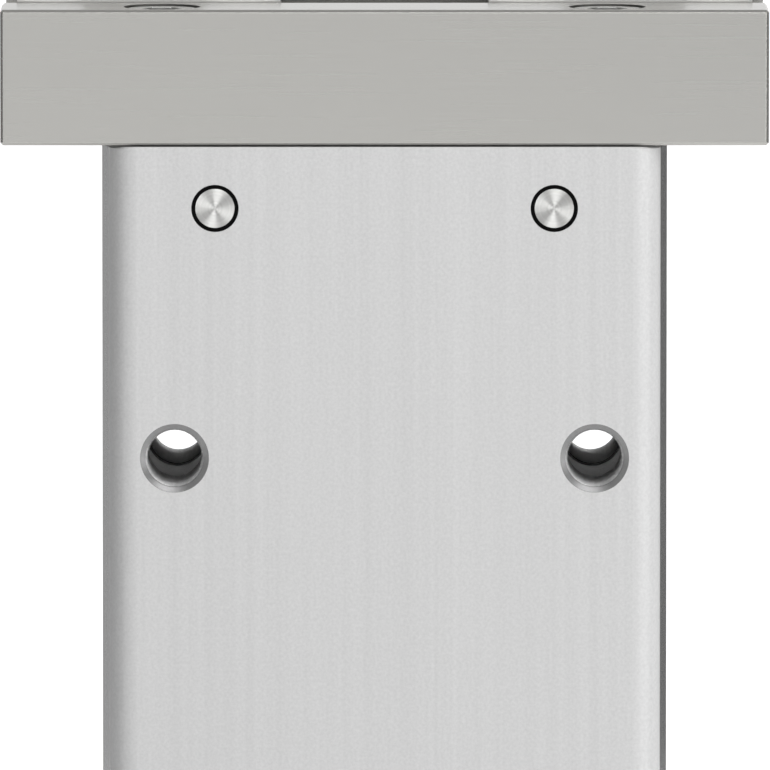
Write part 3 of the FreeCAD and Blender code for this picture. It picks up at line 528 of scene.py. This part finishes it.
# Balls and their stops: bearing balls that roll between the jaws and the rail, and small pins pressed into
# the jaws that keep them in. Both are of hard steel and polished.
ball_polish = ("grain", {"Frequency": (4000, 4000, 4000)}, 0.02, 0.0001 * MM)
polished_steel = finish("polished_steel", (0.6, 0.6, 0.61), 0.09, marks=[ball_polish])
dress(polished_steel, "balls_left", "balls_right", "ball_stops_left", "ball_stops_right")

# Floor and sky: a pale floor that runs to the horizon under a white sky. Both show white to the camera and in
# the metal, and the floor keeps the gripper's shadow.
FLOOR_HALF = 4.0
FLOOR_GLOW = 0.74
AMBIENT = 0.15


def white_when_seen(tree):
    """1 for rays from the camera and for those that metal and glass send on, or else 0."""
    path = put(tree, "LightPath")
    direct = put(tree, "Math", {"operation": "MAXIMUM"})
    either = put(tree, "Math", {"operation": "MAXIMUM"})
    wire(tree, (path.outputs["Is Camera Ray"], direct.inputs[0]),
         (path.outputs["Is Glossy Ray"], direct.inputs[1]), (direct.outputs[0], either.inputs[0]),
         (path.outputs["Is Transmission Ray"], either.inputs[1]))
    return either.outputs[0]


def sheet_of(name, corners, material):
    """Flat stage piece through four corners."""
    mesh = bpy.data.meshes.new(name)
    mesh.from_pydata(corners, [], [(0, 1, 2, 3)])
    mesh.materials.append(material)
    sheet = bpy.data.objects.new(name, mesh)
    scene.collection.objects.link(sheet)
    return sheet


def level_corners(left, right, front, back, height):
    """Corners of a level rectangle."""
    return [(left, front, height), (right, front, height), (right, back, height), (left, back, height)]


floor_paint = bpy.data.materials.new("floor_paint")
floor_paint.use_nodes = True
floor_shader = shader_of(floor_paint)
floor_shader.inputs["Base Color"].default_value = (0.8, 0.8, 0.8, 1)
floor_shader.inputs["Roughness"].default_value = 0.9
floor_shader.inputs["Emission Color"].default_value = (1, 1, 1, 1)
glow = put(floor_paint.node_tree, "Math", {"operation": "MULTIPLY"}, {1: FLOOR_GLOW})
wire(floor_paint.node_tree, (white_when_seen(floor_paint.node_tree), glow.inputs[0]),
     (glow.outputs[0], floor_shader.inputs["Emission Strength"]))
sheet_of("floor", level_corners(-FLOOR_HALF, FLOOR_HALF, -FLOOR_HALF, FLOOR_HALF, 0), floor_paint)
scene.world = bpy.data.worlds.new("studio")
scene.world.use_nodes = True
sky_tree = scene.world.node_tree
sky = sky_tree.nodes["Background"]
sky.inputs["Color"].default_value = (1, 1, 1, 1)
sky_level = spread_over(sky_tree, white_when_seen(sky_tree), AMBIENT, 1.0)
wire(sky_tree, (sky_level, sky.inputs["Strength"]))

# Cards: sheets that glow with a fixed grey, in place of grey board, and that only reflections see. Those
# beside and behind the gripper give its edges their dark lines, the one above dims its upper faces, and the
# dark one before it gives the shaft ends a dark sector.
CARD_FOOT = 1 * MM
SIDE_DISTANCE = 0.25
SIDE_HEIGHT = 0.4
REAR_DISTANCE = 0.08
REAR_HEIGHT = 0.064
FACING_DISTANCE = 0.7
FACING_HEIGHT = -0.02
TOP_HEIGHT = 0.8


def card(name, tone, corners):
    """Card that glows with a fixed grey and that only reflections see."""
    paint = bpy.data.materials.new(name)
    paint.use_nodes = True
    shader = shader_of(paint)
    shader.inputs["Base Color"].default_value = (0, 0, 0, 1)
    shader.inputs["Specular IOR Level"].default_value = 0
    shader.inputs["Emission Color"].default_value = (tone, tone, tone, 1)
    shader.inputs["Emission Strength"].default_value = 1
    piece = sheet_of(name, corners, paint)
    piece.visible_camera = False
    piece.visible_diffuse = False
    piece.visible_shadow = False
    piece.visible_transmission = False


def standing_card(name, tone, distance, start, end, height):
    """Upright card beside the gripper, between two azimuths. Azimuth 0 is the camera's side."""
    corners = []
    for azimuth, z in ((start, CARD_FOOT), (end, CARD_FOOT), (end, height), (start, height)):
        turn = math.radians(azimuth)
        corners.append((distance * math.sin(turn), -distance * math.cos(turn), z))
    card(name, tone, corners)


def facing_card(name, tone, start, end, near, far):
    """Card before the front face, between two clock angles and two angles off the line straight ahead.

    The clock angles grow from the right over the top.
    """
    corners = []
    for clock, off in ((start, near), (start, far), (end, far), (end, near)):
        turn = math.radians(clock)
        swing = math.radians(off)
        reach = FACING_DISTANCE * math.sin(swing)
        corners.append((reach * math.cos(turn), -FACING_DISTANCE * math.cos(swing),
                        reach * math.sin(turn) + FACING_HEIGHT))
    card(name, tone, corners)


standing_card("left_card", 0.35, SIDE_DISTANCE, -60, -120, SIDE_HEIGHT)
standing_card("right_card", 0.36, SIDE_DISTANCE, 65, 120, SIDE_HEIGHT)
standing_card("left_rear_card", 0.45, REAR_DISTANCE, -118, -152, REAR_HEIGHT)
standing_card("right_rear_card", 0.14, REAR_DISTANCE, 118, 152, REAR_HEIGHT)
facing_card("right_facing_card", 0.02, 14, 52, 9, 64)
card("top_card", 0.5, level_corners(-0.8, 0.8, -1.2, 0.4, TOP_HEIGHT))


# Lamps: square soft boxes in front, above and behind. Two small ones light only the lever shafts, whose
# turned ends then show a bright sector for each.
def lamp(name, azimuth, elevation, distance, size, power, lit=None):
    """Square soft box that faces the gripper. Azimuth 0 is the camera's side, and it grows to the right.

    Where lit is given, the lamp lights only that collection.
    """
    light = bpy.data.lights.new(name, "AREA")
    light.size = size
    light.energy = power
    obj = bpy.data.objects.new(name, light)
    scene.collection.objects.link(obj)
    turn = math.radians(azimuth)
    rise = math.radians(elevation)
    way = Vector((math.sin(turn) * math.cos(rise), -math.cos(turn) * math.cos(rise), math.sin(rise)))
    obj.location = UP * hole_height + way * distance
    obj.rotation_euler = way.to_track_quat("Z", "Y").to_euler()
    obj.light_linking.receiver_collection = lit


shaft_ends = bpy.data.collections.new("shaft_ends")
for name in ("lever_shaft_left", "lever_shaft_right"):
    shaft_ends.objects.link(frame["nodes"][name])
lamp("key_light", 45, 4, 1.2, 0.9, 10.1)
lamp("top_light", 22, 52, 0.8, 0.55, 3.3)
lamp("rear_light", 150, 38, 1.2, 1.0, 4.2)
lamp("shaft_top_light", 4, 31, 0.7, 0.27, 1.15, shaft_ends)
lamp("shaft_left_light", -33, 11, 0.7, 0.32, 1.75, shaft_ends)

# Camera: straight in front of the gripper and a little above, through a long lens that keeps its sides
# nearly parallel. It aims at the plane of the rail's front face.
FIELD = 54.96 * MM
AIM_SIDE = 0.03 * MM
AIM_HEIGHT = 40.26 * MM
CAMERA_DISTANCE = 1.25
FAR_SIGHT = 20
camera_rise = math.radians(5.45)
camera_target = Vector((AIM_SIDE, rail_low.y, AIM_HEIGHT))
camera_data = bpy.data.cameras.new("camera")
camera = bpy.data.objects.new("camera", camera_data)
scene.collection.objects.link(camera)
scene.camera = camera
camera.location = camera_target + CAMERA_DISTANCE * Vector((0, -math.cos(camera_rise), math.sin(camera_rise)))
camera.rotation_euler = (math.pi / 2 - camera_rise, 0, 0)
camera_data.lens = camera_data.sensor_width * CAMERA_DISTANCE / FIELD
camera_data.clip_end = FAR_SIGHT
scene.view_settings.view_transform = "Standard"
